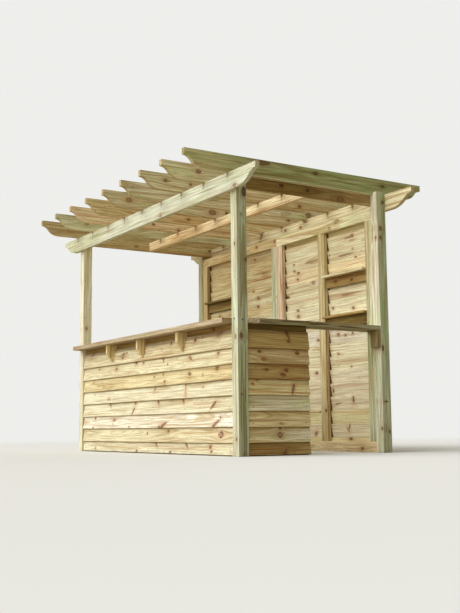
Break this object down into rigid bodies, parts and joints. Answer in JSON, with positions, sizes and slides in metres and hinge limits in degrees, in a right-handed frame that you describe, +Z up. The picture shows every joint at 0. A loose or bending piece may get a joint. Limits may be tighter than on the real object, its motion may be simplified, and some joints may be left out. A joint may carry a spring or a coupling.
{
  "type": "outdoor bar",
  "caption": "Open timber bar with a pergola roof of curved rafters, a counter over low lapped-board panels, a walk-in side and a boarded rear wall with shelves.",
  "frame": {"origin": "on the ground, under the middle of the roof's outline", "axes": "+X runs along the front from the left post to the right one, +Y from front to back, +Z up"},
  "size_m": [3.658, 2.362, 2.303],
  "materials": {
    "beams": "rough sawn, unpainted",
    "side_plates": "rough sawn, unpainted",
    "rafters": "rough sawn, unpainted",
    "posts": "rough sawn, unpainted",
    "frames": "rough sawn, unpainted",
    "siding": "rough sawn, unpainted",
    "counter": "rough sawn, unpainted",
    "brackets": "rough sawn, unpainted",
    "shelves": "rough sawn, unpainted"
  },
  "bodies": {
    "root": {"beam_front": "beams", "beam_middle": "beams", "beam_rear": "beams", "side_plate_left": "side_plates", "side_plate_right": "side_plates", "rafter_1": "rafters", "rafter_2": "rafters", "rafter_3": "rafters", "rafter_4": "rafters", "rafter_5": "rafters", "rafter_6": "rafters", "rafter_7": "rafters", "rafter_8": "rafters", "rafter_9": "rafters", "post_front_left": "posts", "post_front_right": "posts", "post_rear_left": "posts", "post_rear_right": "posts", "front_panel_rails": "frames", "front_panel_studs": "frames", "front_panel_siding": "siding", "side_panel_rails": "frames", "side_panel_studs": "frames", "side_panel_siding": "siding", "wall_left_rails": "frames", "wall_left_studs": "frames", "wall_left_siding": "siding", "wall_right_rails": "frames", "wall_right_studs": "frames", "wall_right_siding": "siding", "counter_front_outer": "counter", "counter_front_inner": "counter", "counter_side": "counter", "counter_block": "brackets", "counter_brackets": "brackets", "shelf_upper_left": "shelves", "shelf_upper_right": "shelves", "shelf_lower_left": "shelves", "shelf_lower_right": "shelves", "shelf_ledgers": "shelves"}
  },
  "joints": []
}
